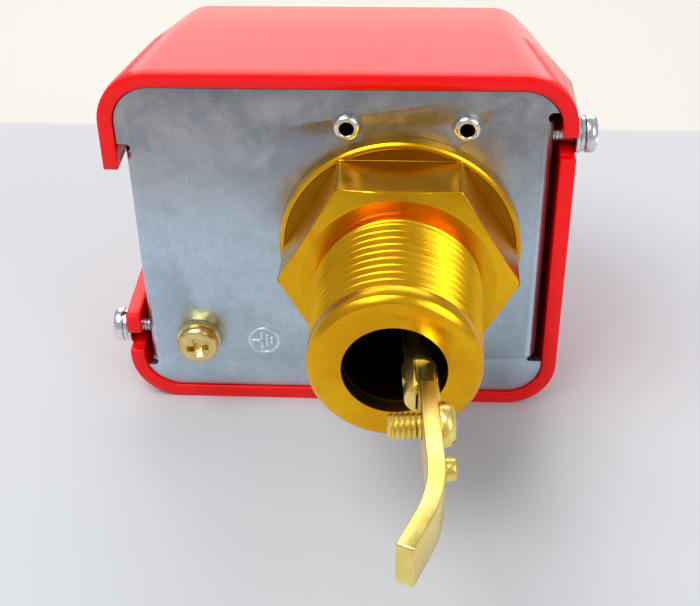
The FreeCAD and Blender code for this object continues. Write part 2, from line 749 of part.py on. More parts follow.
def pivot_spacers():
    start = hub_half + spacer_end_gap
    return [tube(AZ * side, V(0, pivot_y, side * start), spacer_d, pivot_d + 2 * pivot_clear,
                 web_z - start) for side in (-1, 1)]


# --- brackets ---
def bracket(side, left, right):
    """A foot on the base plate and a web that stands on it; side is +1 above the axis, -1 below."""
    x0, x1 = neck_left, neck_right
    step = case_y - bracket_round
    outline = [(x0, plate_in), (x1, plate_in), (x1, step), (right, step), (right, web_end), (left, web_end),
               (left, step), (x0, step)]
    web = sheet(outline, web_z, bracket_t)
    web = round_upright(web, bracket_round, lambda x, y: y > step + bracket_round)
    foot = block(x0, x1, plate_in, plate_in + bracket_t, web_z, foot_edge)
    made = web.fuse(foot)
    if side < 0:
        made = made.mirror(V(0, 0, 0), AZ)
    for x, y in post_places():
        made = made.cut(rod(AZ, V(x, y, -web_out), switch_screw_d, 2 * web_out))
    return made.cut(rod(AZ, V(0, pivot_y, -web_out), pivot_d, 2 * web_out))


def switch_bracket():
    made = bracket(1, case_back - bracket_margin, neck_right)
    for x in rivet_xs():
        made = made.cut(rod(AY, V(x, plate_in, rivet_z), rivet_d, bracket_t))
    for x, y in switch_screw_places():
        made = made.cut(rod(AZ, V(x, y, web_z), switch_screw_d, bracket_t))
    return made.removeSplitter()


def spring_bracket():
    half = range_nut_w / 2
    right = range_tab_x + bracket_t
    made = bracket(-1, neck_left, right)
    tab = block(range_tab_x, right, spring_y - half, spring_y + half, -web_out, spring_z + range_nut_up)
    made = made.fuse(tab)
    hole = rod(AX, V(range_tab_x, spring_y, spring_z), range_screw_d + 2 * range_clear, bracket_t)
    return made.cut(hole).removeSplitter()


def post_places():
    right, y = neck_right - post_inset, web_end - post_inset
    return [(right, y), (right - post_pitch, y)]


def frame_posts():
    made = []
    for x, y in post_places():
        post = hexagon(AZ, V(x, y, -web_z), post_af, 2 * web_z)
        for z in (-web_z, web_z - post_hole_len):
            post = post.cut(rod(AZ, V(x, y, z), switch_screw_d, post_hole_len))
        made.append(post)
    return made


def post_screws():
    return [pan_screw(AZ * side, V(x, y, side * web_out), switch_screw_d, post_screw_len,
                      switch_head_d, switch_head_t, switch_head_t / 2)
            for x, y in post_places() for side in (1, -1)]


# --- snap switch ---
def switch_screw_places():
    x = case_x - case_h / 2
    return [(x, case_y + switch_screw_inset), (x, case_end - switch_screw_inset)]


def tab_places():
    return [case_y + tab_end, (case_y + case_end) / 2, case_end - tab_end]


def switch_case():
    low = web_z - case_w + lid_t
    case = block(case_back, case_x, case_y, case_end, low, web_z)
    case = round_upright(case, case_round, lambda x, y: True)
    case = case.cut(block(case_back + cavity_back, case_x - cavity_front, case_y + cavity_end,
                          case_end - cavity_end, low, web_z - cavity_roof))
    mids = tab_places()
    for a, b in zip(mids, mids[1:]):
        y = (a + b) / 2
        case = case.fuse(block(case_back - barrier_out, case_back + case_round,
                               y - barrier_t / 2, y + barrier_t / 2,
                               plunger_z - barrier_w / 2, plunger_z + barrier_w / 2))
    case = case.cut(rod(-AX, V(case_x, trip_y, plunger_z), plunger_d + 2 * plunger_clear, cavity_front))
    for x, y in switch_screw_places():
        case = case.cut(rod(AZ, V(x, y, low), switch_screw_d, case_w))
    for y in mids:
        case = case.cut(block(case_back, case_back + tab_in, y - tab_w / 2, y + tab_w / 2,
                              plunger_z - tab_t / 2, plunger_z + tab_t / 2))
    return case


def switch_lid():
    low = web_z - case_w
    lid = block(case_back, case_x, case_y, case_end, low, low + lid_t)
    lid = round_upright(lid, case_round, lambda x, y: True)
    for x, y in switch_screw_places():
        lid = lid.cut(rod(AZ, V(x, y, low), switch_screw_d, lid_t))
    return lid


def switch_plunger():
    body = rod(-AX, V(plunger_x, trip_y, plunger_z), plunger_d, plunger_len)
    tip = [e for e in body.Edges if abs(e.CenterOfMass.x - plunger_x) < 1e-6]
    return body.makeFillet(plunger_proud / 2, tip)


def contact_blade():
    x = plunger_x - plunger_len - blade_gap
    return block(x - blade_t, x, case_y + cavity_end + blade_gap, case_end - cavity_end,
                 plunger_z - blade_w / 2, plunger_z + blade_w / 2)


def switch_screws():
    low = web_z - case_w
    length = case_w + bracket_t + switch_nut_t + switch_screw_past
    return [pan_screw(-AZ, V(x, y, low), switch_screw_d, length, switch_head_d, switch_head_t,
                      switch_head_t / 2) for x, y in switch_screw_places()]


def switch_nuts():
    return [nut(AZ, V(x, y, web_out), m3_nut_af, switch_screw_d, switch_nut_t)
            for x, y in switch_screw_places()]


def terminal_x():
    return case_back - tab_out / 2


def terminal_tabs():
    face = case_back
    made = []
    for y in tab_places():
        tab = block(face - tab_out, face + tab_in, y - tab_w / 2, y + tab_w / 2,
                    plunger_z - tab_t / 2, plunger_z + tab_t / 2)
        made.append(tab.cut(rod(AZ, V(terminal_x(), y, plunger_z - tab_t), terminal_screw_d, 2 * tab_t)))
    return made


def terminal_clamps():
    z = plunger_z - tab_t / 2 - clamp_t
    made = []
    for y in tab_places():
        half = tab_w / 2
        clamp = block(terminal_x() - half, terminal_x() + half, y - half, y + half, z, z + clamp_t)
        made.append(clamp.cut(rod(AZ, V(terminal_x(), y, z), terminal_screw_d, clamp_t)))
    return made


def terminal_screws():
    z = plunger_z - tab_t / 2 - clamp_t
    return [pan_screw(-AZ, V(terminal_x(), y, z), terminal_screw_d, terminal_screw_len,
                      terminal_head_d, terminal_head_t, terminal_head_t / 2) for y in tab_places()]


# --- range spring and its screw ---
def range_spring():
    mean = (spring_d - spring_wire) / 2
    rise = spring_len - 2 * spring_gap - spring_wire
    helix = Part.makeHelix(rise / spring_turns, rise, mean)
    start = V(mean, 0, 0)
    section = Part.Wire(Part.makeCircle(spring_wire / 2, start, AY))
    coil = Part.Wire(helix.Edges).makePipeShell([section], True, True)
    coil.Placement = FreeCAD.Placement(V(spring_x + spring_gap + spring_wire / 2, spring_y, spring_z),
                                       FreeCAD.Rotation(AZ, AX))
    return coil


def spring_nut():
    low = -web_z + range_nut_slide
    plate = block(range_nut_x, range_nut_x + range_nut_t, spring_y - range_nut_w / 2,
                  spring_y + range_nut_w / 2, low, spring_z + range_nut_up)
    boss = rod(AX, V(range_nut_x, spring_y, spring_z), spring_d, range_nut_t + range_boss_t)
    hole = rod(AX, V(range_nut_x, spring_y, spring_z), range_screw_d + 2 * range_clear,
               range_nut_t + range_boss_t)
    return plate.fuse(boss).cut(hole).removeSplitter()


def range_screw():
    start = range_nut_x - range_tip
    shank = rod(AX, V(start, spring_y, spring_z), range_screw_d, range_head_x - start)
    head = rod(AX, V(range_head_x, spring_y, spring_z), range_head_d, range_head_t)
    top = range_head_x + range_head_t
    slot = block(top - range_slot_depth, top, spring_y - range_head_d, spring_y + range_head_d,
                 spring_z - range_slot_w / 2, spring_z + range_slot_w / 2)
    groove = tube(AX, V(clip_x - range_clear, spring_y, spring_z), 2 * range_screw_d,
                  range_screw_d - 2 * clip_edge, range_clip_t)
    return shank.fuse(head).cut(slot).cut(groove).removeSplitter()


def range_clip():
    return tube(AX, V(clip_x - range_clear, spring_y, spring_z), range_clip_d,
                range_screw_d - 2 * clip_edge, range_clip_t)


# --- all nodes ---
right_parts = cover_screw_parts(1)
left_parts = cover_screw_parts(-1)
nodes = {
    "base_plate": base_plate(),
    "pipe_fitting": pipe_fitting(),
    "fitting_flange": fitting_flange(),
    "fitting_lock_ring": fitting_lock_ring(),
    "bellows_seat": bellows_seat(),
    "bellows": bellows(),
    "frame_rivets": frame_rivets(),
    "switch_bracket": switch_bracket(),
    "spring_bracket": spring_bracket(),
    "frame_posts": frame_posts(),
    "post_screws": post_screws(),
    "pivot_pin": pivot_pin(),
    "pivot_clips": pivot_clips(),
    "pivot_spacers": pivot_spacers(),
    "earth_screw": earth_screw(),
    "earth_washer": earth_washer(),
    "earth_nut": earth_nut(),
    "cover": cover(),
    "cover_flat_washers": [right_parts[0], left_parts[0]],
    "cover_spring_washers": [right_parts[1], left_parts[1]],
    "cover_screw_right": right_parts[2],
    "cover_screw_left": left_parts[2],
    "cover_nuts": [right_parts[3], left_parts[3]],
    "lever_rod": lever_rod(),
    "paddle_bar": paddle_bar(),
    "bar_rivet": bar_rivet(),
    "paddle_screw": paddle_screw(),
    "locating_pin": locating_pin(),
    "bellows_collar": bellows_collar(),
    "lever_plate": lever_plate(),
    "lever_screw": lever_screw(),
    "lever_nut": lever_nut(),
    "trip_screw": trip_screw(),
    "trip_lock_nut": trip_lock_nut(),
    "switch_case": switch_case(),
    "switch_lid": switch_lid(),
    "switch_plunger": switch_plunger(),
    "contact_blade": contact_blade(),
    "switch_screws": switch_screws(),
    "switch_nuts": switch_nuts(),
    "terminal_tabs": terminal_tabs(),
    "terminal_clamps": terminal_clamps(),
    "terminal_screws": terminal_screws(),
    "range_spring": range_spring(),
    "spring_nut": spring_nut(),
    "range_screw": range_screw(),
    "range_clip": range_clip(),
}

os.makedirs("parts", exist_ok=True)
for name, made in nodes.items():
    shape = Part.makeCompound(made) if isinstance(made, list) else made
    shape.exportStep(os.path.join("parts", name + ".step"))
    print(name, len(shape.Solids), "solids", round(shape.Volume, 1), "mm3", "valid", shape.isValid())
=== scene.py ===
import bpy
import bmesh
import math
from mathutils import Matrix, Vector


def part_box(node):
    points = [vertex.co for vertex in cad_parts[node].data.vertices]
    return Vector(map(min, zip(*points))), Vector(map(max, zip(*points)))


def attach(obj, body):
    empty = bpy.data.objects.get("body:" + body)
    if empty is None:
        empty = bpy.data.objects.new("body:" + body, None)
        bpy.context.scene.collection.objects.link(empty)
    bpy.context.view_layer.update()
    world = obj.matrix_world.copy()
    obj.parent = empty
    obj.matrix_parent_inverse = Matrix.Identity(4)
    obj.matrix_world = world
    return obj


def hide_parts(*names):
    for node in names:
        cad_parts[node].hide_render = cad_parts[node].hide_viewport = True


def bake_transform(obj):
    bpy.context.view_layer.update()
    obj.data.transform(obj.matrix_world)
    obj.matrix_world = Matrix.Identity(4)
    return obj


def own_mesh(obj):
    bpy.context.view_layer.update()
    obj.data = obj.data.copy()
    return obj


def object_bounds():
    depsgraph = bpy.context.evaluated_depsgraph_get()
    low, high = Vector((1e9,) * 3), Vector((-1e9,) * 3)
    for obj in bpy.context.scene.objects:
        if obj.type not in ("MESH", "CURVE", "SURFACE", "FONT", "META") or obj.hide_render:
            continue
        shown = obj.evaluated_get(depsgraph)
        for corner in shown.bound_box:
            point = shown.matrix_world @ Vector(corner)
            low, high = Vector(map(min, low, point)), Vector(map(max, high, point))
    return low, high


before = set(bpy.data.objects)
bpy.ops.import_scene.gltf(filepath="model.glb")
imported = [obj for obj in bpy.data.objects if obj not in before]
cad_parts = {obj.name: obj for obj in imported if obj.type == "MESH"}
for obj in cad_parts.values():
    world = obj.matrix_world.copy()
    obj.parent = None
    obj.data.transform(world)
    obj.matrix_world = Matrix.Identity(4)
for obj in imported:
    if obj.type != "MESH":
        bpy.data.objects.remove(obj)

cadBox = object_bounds()
mm = 0.001
lean = math.radians(4.6)  # how far the arm leans toward +X at rest
outward = Vector((math.sin(lean), -math.cos(lean), 0))  # along the arm, from the pivot to the paddle
sideways = Vector((math.cos(lean), math.sin(lean), 0))
upward = Vector((0, 0, 1))
print("frame loaded,", len(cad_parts), "nodes")


class Wire:
    # A value in a material. Arithmetic on it adds Math nodes.
    def __init__(self, paint, socket):
        self.paint = paint
        self.socket = socket

    def math(self, operation, *values):
        return self.paint.node("ShaderNodeMath", {"operation": operation}, dict(enumerate(values)))

    def __add__(self, other):
        return self.math("ADD", self, other)

    def __radd__(self, other):
        return self.math("ADD", other, self)

    def __sub__(self, other):
        return self.math("SUBTRACT", self, other)

    def __rsub__(self, other):
        return self.math("SUBTRACT", other, self)

    def __mul__(self, other):
        return self.math("MULTIPLY", self, other)

    def __rmul__(self, other):
        return self.math("MULTIPLY", other, self)

    def __truediv__(self, other):
        return self.math("DIVIDE", self, other)

    def __rtruediv__(self, other):
        return self.math("DIVIDE", other, self)

    def __pow__(self, other):
        return self.math("POWER", self, other)

    def fade(self, low, high):
        # 0 below low, 1 above high, smooth in between; low may be the larger one
        settings = {"interpolation_type": "SMOOTHSTEP"}
        feeds = {0: self, 1: low, 2: high}
        if low > high:
            feeds = {0: self, 1: high, 2: low, 3: 1.0, 4: 0.0}
        return self.paint.node("ShaderNodeMapRange", settings, feeds)


class Paint:
    # A procedural material for one finish, with the name of its slot.
    def __init__(self, name, slotName, constants):
        self.material = bpy.data.materials.new(name)
        self.material.use_nodes = True
        self.tree = self.material.node_tree
        self.shader = self.tree.nodes["Principled BSDF"]
        self.slotName = slotName
        for key, value in constants.items():
            self.shader.inputs[key].default_value = value
        self.place = self.node("ShaderNodeTexCoord", out=3)
        parts = self.tree.nodes.new("ShaderNodeSeparateXYZ")
        self.feed(parts.inputs[0], self.place)
        self.x, self.y, self.z = (Wire(self, parts.outputs[i]) for i in range(3))

    def node(self, kind, settings=None, feeds=None, out=0):
        made = self.tree.nodes.new(kind)
        for key, value in (settings or {}).items():
            setattr(made, key, value)
        for key, value in (feeds or {}).items():
            self.feed(made.inputs[key], value)
        return Wire(self, made.outputs[out])

    def feed(self, socket, value):
        if isinstance(value, Wire):
            self.tree.links.new(value.socket, socket)
        elif isinstance(value, tuple) and len(value) == 3 and socket.type == "RGBA":
            socket.default_value = (*value, 1)
        else:
            socket.default_value = value

    def point(self, x, y, z):
        return self.node("ShaderNodeCombineXYZ", feeds={0: x, 1: y, 2: z})

    def noise(self, scale, detail=2.0, rough=0.5, at=None, warp=0.0):
        feeds = {"Vector": at or self.place, "Scale": scale, "Detail": detail}
        feeds.update({"Roughness": rough, "Distortion": warp})
        return self.node("ShaderNodeTexNoise", {}, feeds)

    def mix(self, factor, first, second):
        return self.node("ShaderNodeMix", {"data_type": "RGBA"}, {0: factor, 6: first, 7: second}, 2)

    def colour(self, value):
        self.feed(self.shader.inputs["Base Color"], value)

    def rough(self, value):
        self.feed(self.shader.inputs["Roughness"], value)

    def bump(self, height, distance, strength=1.0):
        made = self.node("ShaderNodeBump", {}, {"Height": height, "Distance": distance, "Strength": strength})
        self.feed(self.shader.inputs["Normal"], made)


def wide(paint, x, z):
    # distance from an axis along Y
    across = paint.x - x
    rise = paint.z - z
    return (across * across + rise * rise) ** 0.5


def scratches(paint, stretch, scale, low, high):
    # fine lines along one direction; stretch squeezes the pattern across them
    feeds = {"Vector": paint.place, "Scale": Vector(stretch)}
    long = paint.node("ShaderNodeMapping", {}, feeds)
    return paint.noise(scale, 3.0, 0.6, long).fade(low, high)


def metal(name, slotName, deep, pale, roughness, scale, change=0.06, grain=0.0):
    # plated or drawn metal: cloudy colour, uneven gloss and a fine grain
    paint = Paint(name, slotName, {"Metallic": 1.0})
    cloud = paint.noise(scale, 4.0, 0.6)
    fine = paint.noise(scale * 9, 2.0, 0.5)
    paint.colour(paint.mix(cloud.fade(0.3, 0.7), deep, pale))
    paint.rough(roughness - change / 2 + cloud * change + fine * change)
    paint.bump(fine + cloud * 0.5, 0.00002 + grain, 0.35)
    return paint


def plastic(name, slotName, deep, pale, roughness, grain):
    paint = Paint(name, slotName, {"Metallic": 0.0})
    cloud = paint.noise(160.0, 3.0, 0.6)
    skin = paint.noise(2200.0, 2.0, 0.5)
    paint.colour(paint.mix(cloud.fade(0.35, 0.65), deep, pale))
    paint.rough(roughness + cloud * 0.08)
    paint.bump(skin, grain, 0.5)
    return paint


def coverPaint():
    constants = {"Metallic": 0.0, "IOR": 1.5, "Coat Roughness": 0.03, "Specular IOR Level": 0.34}
    paint = Paint("moulded red", "cover_red", constants)
    cloud = paint.noise(45.0, 3.0, 0.55)
    flow = paint.noise(900.0, 2.0, 0.5)
    dust = paint.noise(1500.0, 4.0, 0.7).fade(0.62, 0.75)
    scuff = scratches(paint, (1.0, 0.12, 1.0), 900.0, 0.66, 0.74)
    paint.colour(paint.mix(cloud.fade(0.3, 0.7), (0.90, 0.0, 0.001), (0.97, 0.002, 0.002)))
    paint.rough(0.16 + cloud * 0.07 + dust * 0.08 + scuff * 0.07)
    paint.bump(flow * 0.7 + paint.noise(120.0) * 2.0, 0.00003, 0.3)
    return paint


def zincPaint():
    paint = Paint("zinc sheet", "zinc_sheet", {"Metallic": 1.0})
    lines = scratches(paint, (0.05, 1.0, 1.0), 2400.0, 0.35, 0.75)
    cloud = paint.noise(38.0, 5.0, 0.62, warp=0.6)
    blot = paint.noise(170.0, 4.0, 0.65, warp=0.4)
    scratch = scratches(paint, (1.0, 1.0, 0.08), 700.0, 0.68, 0.73)
    worn = (cloud * 0.6 + blot * 0.4).fade(0.38, 0.62)
    speck = paint.noise(1300.0, 3.0, 0.6)
    high = (paint.z + cloud * 0.016).fade(0.004, 0.034)  # painted reflection: darker and browner toward the top of the plate, standing in for the darker floor it mirrors
    low = paint.mix(worn, (0.44, 0.55, 0.64), (0.57, 0.69, 0.79))
    # dark brown-grey painted reflection colour for the plate's upper part
    reflectionDark = paint.mix(worn, (0.27, 0.27, 0.29), (0.44, 0.43, 0.43))
    base = paint.mix(speck.fade(0.35, 0.65) * 0.25, paint.mix(high, low, reflectionDark), (0.40, 0.42, 0.46))
    paint.colour(paint.mix(scratch * 0.5, base, (0.80, 0.84, 0.88)))
    paint.rough(0.30 + blot * 0.10 - lines * 0.05 + scratch * 0.06)
    paint.bump(lines * 0.4 + blot + scratch * 0.6, 0.00003, 0.4)
    return paint


def turnedBrass(name, slotName, deep, pale, roughness, pitch):
    # brass from a lathe: fine rings round the Y axis that show on faces and on cylinders
    paint = Paint(name, slotName, {"Metallic": 1.0})
    radius = wide(paint, 0.0, 0.0)
    rings = paint.noise(1.0, 3.0, 0.6, paint.point(radius / pitch, paint.y / pitch, 0.0))
    fine = paint.noise(1.0, 2.0, 0.5, paint.point(radius * 3.1 / pitch, paint.y * 3.1 / pitch, 4.0))
    cloud = paint.noise(70.0, 4.0, 0.6, warp=0.5)
    tarnish = (cloud + rings * 0.25).fade(0.35, 0.85)
    # painted shade: near black inside the bore behind its lip; much darker brown on the flange's face round
    # the hexagon
    inside = radius.fade(0.0137, 0.0134) * paint.y.fade(-0.0245, -0.0232)
    flange = paint.y.fade(0.0121, 0.0125) * paint.y.fade(0.0131, 0.0128) * radius.fade(0.0240, 0.0237)
    skin = paint.mix(flange * 0.8, paint.mix(tarnish, deep, pale), (0.20, 0.095, 0.004))
    # near-black painted shade inside the bore
    paint.colour(paint.mix(inside, skin, (0.030, 0.018, 0.008)))
    paint.rough(roughness + rings * 0.08 + cloud * 0.06 + inside * 0.35)
    paint.bump(rings + fine * 0.4, 0.000035, 0.5)
    return paint


def cutBrass(name, slotName, deep, pale, roughness, stretch):
    paint = Paint(name, slotName, {"Metallic": 1.0})
    lines = scratches(paint, stretch, 1300.0, 0.3, 0.8)
    cloud = paint.noise(110.0, 4.0, 0.6, warp=0.4)
    nick = scratches(paint, (1.0, 0.35, 1.0), 500.0, 0.70, 0.75)
    paint.colour(paint.mix(cloud.fade(0.3, 0.7), deep, pale))
    paint.rough(roughness + lines * 0.10 + cloud * 0.05)
    paint.bump(lines + cloud * 1.5 - nick * 1.5, 0.00004, 0.5)
    return paint


finishes = {
    "coverRed": coverPaint(),
    "zincSheet": zincPaint(),
    "fittingBrass": turnedBrass(
        "turned brass", "fitting_brass", (0.74, 0.335, 0.006), (0.90, 0.49, 0.013), 0.17, 0.00035),
    "armBrass": cutBrass(
        "arm brass", "arm_brass", (0.84, 0.60, 0.12), (0.98, 0.80, 0.26), 0.24, (1.0, 0.06, 1.0)),
    "terminalBrass": cutBrass(
        "terminal brass", "terminal_brass", (0.66, 0.50, 0.22), (0.82, 0.68, 0.38), 0.26, (0.08, 1.0, 1.0)),
    "bellowsBronze": metal(
        "rolled bronze", "bellows_bronze", (0.60, 0.36, 0.15), (0.78, 0.52, 0.26), 0.28, 220.0),
    # the sign is the plate's own zinc, given a far paler colour as a painted highlight on its raised strokes
    "signPaintedHighlight": metal("pressed sign painted highlight", "zinc_sheet", (0.80, 0.88, 0.94), (0.94, 0.97, 1.0), 0.30, 300.0),
    "rivetSteel": metal("rolled rivet", "rivet_steel", (0.70, 0.66, 0.58), (0.86, 0.84, 0.78), 0.16, 300.0),
    "platedScrew": metal("plated screw", "plated_screw", (0.66, 0.68, 0.70), (0.84, 0.85, 0.86), 0.17, 300.0),
    "yellowZinc": metal("yellow plating", "yellow_zinc", (0.72, 0.50, 0.14), (0.90, 0.74, 0.34), 0.18, 260.0),
    "springSteel": metal("drawn steel", "spring_steel", (0.42, 0.43, 0.46), (0.60, 0.61, 0.64), 0.22, 240.0),
    "switchBlack": plastic(
        "black thermoset", "switch_black", (0.020, 0.020, 0.022), (0.040, 0.040, 0.043), 0.42, 0.00003),
    "switchLid": plastic(
        "grey thermoset", "switch_lid", (0.060, 0.060, 0.066), (0.090, 0.090, 0.096), 0.46, 0.00003),
    "plungerRed": plastic("red pin", "plunger_red", (0.45, 0.03, 0.025), (0.60, 0.05, 0.04), 0.34, 0.00002),
}
print("finishes made:", len(finishes))


def middle(node):
    low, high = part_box(node)
    return (low + high) / 2


def dress(piece, finish, body, replaced=(), sharp=40):
    paint = finishes[finish]
    piece.data.shade_smooth()
    piece.data.set_sharp_from_angle(angle=math.radians(sharp))
    piece.data.materials.clear()
    piece.data.materials.append(paint.material)
    if body:
        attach(piece, body)
    if replaced:
        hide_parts(*replaced)
    return piece


def show(name, mesh):
    piece = bpy.data.objects.new(name, mesh)
    bpy.context.scene.collection.objects.link(piece)
    return piece


def build(name, corners, faces):
    mesh = bpy.data.meshes.new(name)
    mesh.from_pydata(corners, [], faces)
    work = bmesh.new()
    work.from_mesh(mesh)
    bmesh.ops.remove_doubles(work, verts=work.verts, dist=1e-6)
    bmesh.ops.recalc_face_normals(work, faces=work.faces)
    work.to_mesh(mesh)
    work.free()
    return show(name, mesh)


def gridFaces(rows, columns, closeRows, closeColumns, start=0):
    faces = []
    for i in range(rows if closeRows else rows - 1):
        for j in range(columns if closeColumns else columns - 1):
            a, b = start + i * columns, start + (i + 1) % rows * columns
            faces.append((a + j, a + (j + 1) % columns, b + (j + 1) % columns, b + j))
    return faces


def frameOf(axis):
    axis = Vector(axis).normalized()
    helper = Vector((0, 0, 1)) if abs(axis.z) < 0.9 else Vector((1, 0, 0))
    across = helper.cross(axis).normalized()
    return across, axis.cross(across), axis


def lathe(profile, origin, axis, columns=72, start=0):
    # corners and faces of a closed (radius, height) outline turned round an axis; sizes in mm
    across, over, along = frameOf(axis)
    corners = []
    for radius, height in profile:
        for j in range(columns):
            turn = 2 * math.pi * j / columns
            ring = across * (radius * math.cos(turn)) + over * (radius * math.sin(turn))
            corners.append(Vector(origin) + (ring + along * height) * mm)
    return corners, gridFaces(len(profile), columns, True, True, start)


def turnedPiece(name, profile, origin, axis, columns=72):
    return build(name, *lathe(profile, origin, axis, columns))


def arc(cx, cy, radius, first, last, steps):
    turns = [math.radians(first + (last - first) * i / steps) for i in range(steps + 1)]
    return [(cx + radius * math.cos(turn), cy + radius * math.sin(turn)) for turn in turns]


def softCopy(name, node, finish, body, edge, sharp=38, steps=2):
    # the CAD node's form with its flat faces made whole and its edges broken by a small round
    work = bmesh.new()
    work.from_mesh(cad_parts[node].data)
    bmesh.ops.remove_doubles(work, verts=work.verts, dist=2e-6)
    bmesh.ops.dissolve_limit(work, angle_limit=math.radians(0.4), verts=work.verts, edges=work.edges)
    mesh = bpy.data.meshes.new(name)
    work.to_mesh(mesh)
    work.free()
    piece = show(name, mesh)
    bevel = piece.modifiers.new("edges", "BEVEL")
    bevel.width = edge * mm
    bevel.segments = steps
    bevel.limit_method = "ANGLE"
    bevel.angle_limit = math.radians(35)
    return dress(applied(piece), finish, body, [node], sharp)


def applied(piece):
    bpy.context.view_layer.update()
    graph = bpy.context.evaluated_depsgraph_get()
    mesh = bpy.data.meshes.new_from_object(piece.evaluated_get(graph))
    piece.modifiers.clear()
    piece.data = mesh
    return piece


def cut(piece, tools):
    for tool in tools:
        change = piece.modifiers.new("cut", "BOOLEAN")
        change.operation = "DIFFERENCE"
        change.solver = "EXACT"
        change.object = tool
        applied(piece)
        bpy.data.objects.remove(tool)
    return piece


fittingValues = {
    # thread, from the mouth to its run-out at the hexagon
    "pitch": 2.209, "depth": 1.30, "crestShare": 0.07, "rootShare": 0.06, "rowsPerTurn": 16, "step": 2.0,
    "nipple": 27.0, "bandLength": 3.3, "threadEnd": -0.35, "runOut": 1.6, "neck": 15.3,
    "crestAtHex": 16.62, "crestAtMouth": 16.15, "mouthFace": 15.1, "chamfer": 1.2, "mouth": 9.7, "lip": 3.5,
    # hexagon, flange and spigot
    "hexFlat": 21.0, "hexRound": 1.0, "hexFace": 19.4, "chamferTilt": 15.0, "hexEnd": 12.6,
    "flangeRadius": 24.85, "flangeEdge": 0.4, "line": 0.12, "plateFace": 15.6,
    "spigot": 16.0, "spigotEnd": 23.6, "seatFace": 20.6, "seatRadius": 14.2, "chamber": 13.25, "edge": 0.12,
}


def hexRadius(turn, flat, rounding):
    # distance from the axis to a hexagon with rounded corners, which stand at 0, 60, 120... degrees
    off = math.radians((math.degrees(turn) + 30) % 60 - 30)
    centre = (flat - rounding) / math.cos(math.radians(30))
    touch = math.atan2(rounding * 0.5, centre + rounding * math.cos(math.radians(30)))
    if abs(off) < touch:
        return centre * math.cos(off) + math.sqrt(rounding ** 2 - (centre * math.sin(off)) ** 2)
    return flat / math.cos(math.radians(30) - abs(off))


def fittingRows(v):
    # rows of (radius, y) by angle, from the mouth along the thread to the hexagon, the flange and back inside
    front, last = -v["nipple"], v["threadEnd"]
    first = front + v["bandLength"]
    crestSlope = (v["crestAtHex"] - v["crestAtMouth"]) / v["nipple"]

    def crest(y):
        return v["crestAtHex"] + crestSlope * y

    def threadRow(i):
        def row(turn):
            y = first + (i / v["rowsPerTurn"] + turn / (2 * math.pi) - 1) * v["pitch"]
            y = min(max(y, first), last)
            share = i / v["rowsPerTurn"] % 1.0
            flank = 1 - v["crestShare"] - v["rootShare"]
            groove = min(max((1 - abs(2 * share - 1) - v["crestShare"]) / flank, 0), 1)
            fadeIn = min(max((y - first) / v["pitch"], 0), 1)
            fadeOut = min(max((last - y) / v["runOut"], 0), 1)
            depth = v["depth"] * groove * fadeIn * (3 - 2 * fadeIn) * fadeIn
            top = crest(y) - (crest(y) - v["neck"]) * (1 - fadeOut) ** 2
            return max(top - depth * fadeOut, v["neck"] - 0.3), y
        return row

    def fixed(radius, y):
        return lambda turn: (radius, y)

    def onHex(share, rise=0.0):
        def row(turn):
            part = (hexRadius(turn, v["hexFlat"], v["hexRound"]) - v["hexFace"]) * share
            return v["hexFace"] + part, part * math.tan(math.radians(v["chamferTilt"])) + rise
        return row

    def hexSide(y, inset=0.0):
        return lambda turn: (hexRadius(turn, v["hexFlat"], v["hexRound"]) - inset, y)

    def onFlange(radius, margin, sink=0.0):
        # a ring on the flange's face that makes way for the hexagon's corners
        def row(turn):
            return max(radius, hexRadius(turn, v["hexFlat"], v["hexRound"]) + margin), v["hexEnd"] + sink
        return row

    e, f, h = v["edge"], v["flangeRadius"], v["hexEnd"]
    mouth, face, neck, spigot = v["mouth"], v["mouthFace"], v["neck"], v["spigot"]
    plate, back, step = v["plateFace"], v["spigotEnd"], v["flangeEdge"]
    # rounded lip of the mouth
    rows = [fixed(mouth, front + v["lip"]), fixed(mouth, front + e), fixed(mouth + 0.3 * e, front + 0.3 * e)]
    rows += [fixed(mouth + e, front), fixed(face - e, front), fixed(face, front + 0.3 * e)]
    rows += [fixed(crest(front) - e, front + v["chamfer"] - e)]
    rows += [fixed(crest(front), front + v["chamfer"] + 0.5 * e)]
    turns = math.ceil((last - first) / v["pitch"]) + 1
    rows += [threadRow(i) for i in range(turns * v["rowsPerTurn"] + 1)]
    # hexagon with its turned chamfer
    rows += [fixed(radius, 0.0) for radius in (neck, neck + 0.2, v["hexFace"] - 0.22, v["hexFace"] - 0.08)]
    rows += [onHex(share) for share in (0.05, 0.12, 0.8, 0.94)]
    rows += [onHex(1.0, 0.14), hexSide(1.2), hexSide(h - 0.4), hexSide(h - 0.12), hexSide(h, -0.1)]
    # flange with a turned line near its rim
    rows += [onFlange(f - 1.4, 0.16), onFlange(f - 1.2, 0.2), onFlange(f - 1.1, 0.23, v["line"])]
    rows += [onFlange(f - 1.0, 0.26), onFlange(f - step - 0.2, 0.3), fixed(f - step, h), fixed(f, h + step)]
    rows += [fixed(f, h + step + 0.2), fixed(f, plate - 0.15), fixed(f - 0.15, plate)]
    # spigot, seat and chamber
    rows += [fixed(spigot, plate), fixed(spigot, back - 0.2), fixed(spigot - 0.2, back)]
    rows += [fixed(v["seatRadius"], back), fixed(v["seatRadius"], v["seatFace"])]
    rows += [fixed(v["chamber"], v["seatFace"]), fixed(v["chamber"], front + v["lip"])]
    return rows


